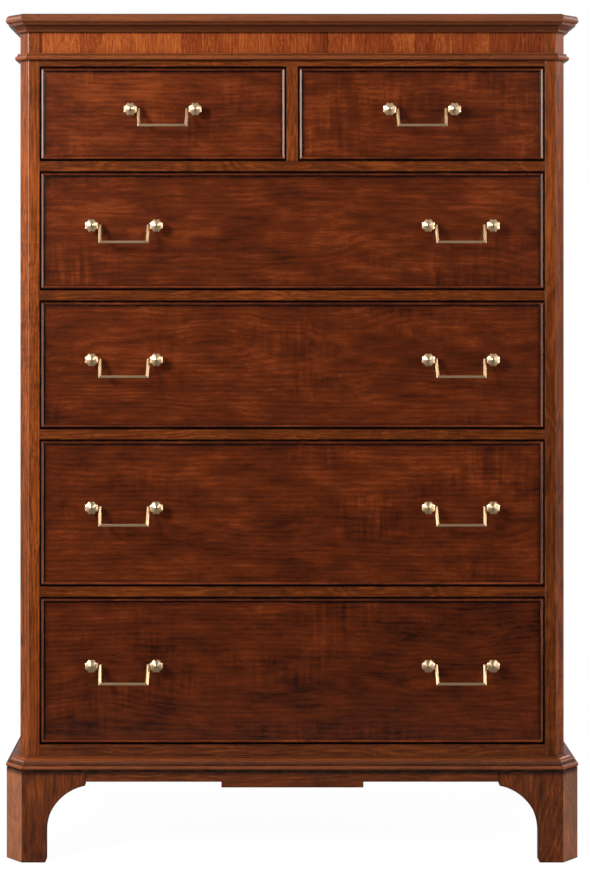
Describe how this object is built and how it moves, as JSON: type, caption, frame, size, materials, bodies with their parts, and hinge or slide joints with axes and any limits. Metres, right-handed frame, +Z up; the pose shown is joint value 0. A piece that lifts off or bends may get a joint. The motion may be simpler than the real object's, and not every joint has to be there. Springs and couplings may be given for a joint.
{
  "type": "chest of drawers",
  "caption": "Tall wooden chest with canted front corners, short drawers side by side over long ones, bracket feet and brass bail pulls.",
  "frame": {"origin": "on the floor, below the middle of the top's plan", "axes": "+Z up, +X to the right of someone facing the drawers, +Y to the back; drawers open towards -Y"},
  "size_m": [1.016, 0.4991, 1.4943],
  "materials": {
    "cherry_case": "satin",
    "cherry_front": "satin",
    "frieze_veneer": "satin",
    "secondary_wood": "matte",
    "plywood": "matte",
    "brass": "polished"
  },
  "bodies": {
    "root": {"top_board": "cherry_case", "cornice_moulding": "cherry_case", "frieze_board": "frieze_veneer", "waist_moulding": "cherry_case", "base_moulding": "cherry_case", "corner_post_left": "cherry_case", "corner_post_right": "cherry_case", "side_panel_left": "cherry_case", "side_panel_right": "cherry_case", "back_panel": "plywood", "drawer_rails": "cherry_case", "runner_frames": "secondary_wood", "dust_panels": "plywood", "drawer_stops": "secondary_wood", "top_drawer_divider": "cherry_case", "foot_front_left": "cherry_case", "foot_front_right": "cherry_case", "foot_rear_left": "cherry_case", "foot_rear_right": "cherry_case", "aprons": "cherry_case"},
    "drawer_bottom": {"drawer_bottom_front": "cherry_front", "drawer_bottom_sides": "secondary_wood", "drawer_bottom_back": "secondary_wood", "drawer_bottom_panel": "plywood", "drawer_bottom_pulls": "brass"},
    "drawer_bottom_bail_left": {"drawer_bottom_bail_left": "brass"},
    "drawer_bottom_bail_right": {"drawer_bottom_bail_right": "brass"},
    "drawer_lower": {"drawer_lower_front": "cherry_front", "drawer_lower_sides": "secondary_wood", "drawer_lower_back": "secondary_wood", "drawer_lower_panel": "plywood", "drawer_lower_pulls": "brass"},
    "drawer_lower_bail_left": {"drawer_lower_bail_left": "brass"},
    "drawer_lower_bail_right": {"drawer_lower_bail_right": "brass"},
    "drawer_middle": {"drawer_middle_front": "cherry_front", "drawer_middle_sides": "secondary_wood", "drawer_middle_back": "secondary_wood", "drawer_middle_panel": "plywood", "drawer_middle_pulls": "brass"},
    "drawer_middle_bail_left": {"drawer_middle_bail_left": "brass"},
    "drawer_middle_bail_right": {"drawer_middle_bail_right": "brass"},
    "drawer_upper": {"drawer_upper_front": "cherry_front", "drawer_upper_sides": "secondary_wood", "drawer_upper_back": "secondary_wood", "drawer_upper_panel": "plywood", "drawer_upper_pulls": "brass"},
    "drawer_upper_bail_left": {"drawer_upper_bail_left": "brass"},
    "drawer_upper_bail_right": {"drawer_upper_bail_right": "brass"},
    "drawer_top_left": {"drawer_top_left_front": "cherry_front", "drawer_top_left_sides": "secondary_wood", "drawer_top_left_back": "secondary_wood", "drawer_top_left_panel": "plywood", "drawer_top_left_pulls": "brass"},
    "drawer_top_left_bail": {"drawer_top_left_bail": "brass"},
    "drawer_top_right": {"drawer_top_right_front": "cherry_front", "drawer_top_right_sides": "secondary_wood", "drawer_top_right_back": "secondary_wood", "drawer_top_right_panel": "plywood", "drawer_top_right_pulls": "brass"},
    "drawer_top_right_bail": {"drawer_top_right_bail": "brass"}
  },
  "joints": [
    {"name": "drawer_bottom_slide", "type": "slide", "parent": "root", "child": "drawer_bottom", "axis": [0, -1, 0], "range_m": [0, 0.33]},
    {"name": "drawer_bottom_bail_left_hinge", "type": "hinge", "parent": "drawer_bottom", "child": "drawer_bottom_bail_left", "pos_m": [-0.297, -0.2338, 0.34396], "axis": [-1, 0, 0], "range_deg": [0, 160]},
    {"name": "drawer_bottom_bail_right_hinge", "type": "hinge", "parent": "drawer_bottom", "child": "drawer_bottom_bail_right", "pos_m": [0.297, -0.2338, 0.34396], "axis": [-1, 0, 0], "range_deg": [0, 160]},
    {"name": "drawer_lower_slide", "type": "slide", "parent": "root", "child": "drawer_lower", "axis": [0, -1, 0], "range_m": [0, 0.33]},
    {"name": "drawer_lower_bail_left_hinge", "type": "hinge", "parent": "drawer_lower", "child": "drawer_lower_bail_left", "pos_m": [-0.297, -0.2338, 0.62294], "axis": [-1, 0, 0], "range_deg": [0, 160]},
    {"name": "drawer_lower_bail_right_hinge", "type": "hinge", "parent": "drawer_lower", "child": "drawer_lower_bail_right", "pos_m": [0.297, -0.2338, 0.62294], "axis": [-1, 0, 0], "range_deg": [0, 160]},
    {"name": "drawer_middle_slide", "type": "slide", "parent": "root", "child": "drawer_middle", "axis": [0, -1, 0], "range_m": [0, 0.33]},
    {"name": "drawer_middle_bail_left_hinge", "type": "hinge", "parent": "drawer_middle", "child": "drawer_middle_bail_left", "pos_m": [-0.297, -0.2338, 0.88397], "axis": [-1, 0, 0], "range_deg": [0, 160]},
    {"name": "drawer_middle_bail_right_hinge", "type": "hinge", "parent": "drawer_middle", "child": "drawer_middle_bail_right", "pos_m": [0.297, -0.2338, 0.88397], "axis": [-1, 0, 0], "range_deg": [0, 160]},
    {"name": "drawer_upper_slide", "type": "slide", "parent": "root", "child": "drawer_upper", "axis": [0, -1, 0], "range_m": [0, 0.33]},
    {"name": "drawer_upper_bail_left_hinge", "type": "hinge", "parent": "drawer_upper", "child": "drawer_upper_bail_left", "pos_m": [-0.297, -0.2338, 1.12075], "axis": [-1, 0, 0], "range_deg": [0, 160]},
    {"name": "drawer_upper_bail_right_hinge", "type": "hinge", "parent": "drawer_upper", "child": "drawer_upper_bail_right", "pos_m": [0.297, -0.2338, 1.12075], "axis": [-1, 0, 0], "range_deg": [0, 160]},
    {"name": "drawer_top_left_slide", "type": "slide", "parent": "root", "child": "drawer_top_left", "axis": [0, -1, 0], "range_m": [0, 0.33]},
    {"name": "drawer_top_left_bail_hinge", "type": "hinge", "parent": "drawer_top_left", "child": "drawer_top_left_bail", "pos_m": [-0.22875, -0.2338, 1.32612], "axis": [-1, 0, 0], "range_deg": [0, 160]},
    {"name": "drawer_top_right_slide", "type": "slide", "parent": "root", "child": "drawer_top_right", "axis": [0, -1, 0], "range_m": [0, 0.33]},
    {"name": "drawer_top_right_bail_hinge", "type": "hinge", "parent": "drawer_top_right", "child": "drawer_top_right_bail", "pos_m": [0.22875, -0.2338, 1.32612], "axis": [-1, 0, 0], "range_deg": [0, 160]}
  ]
}
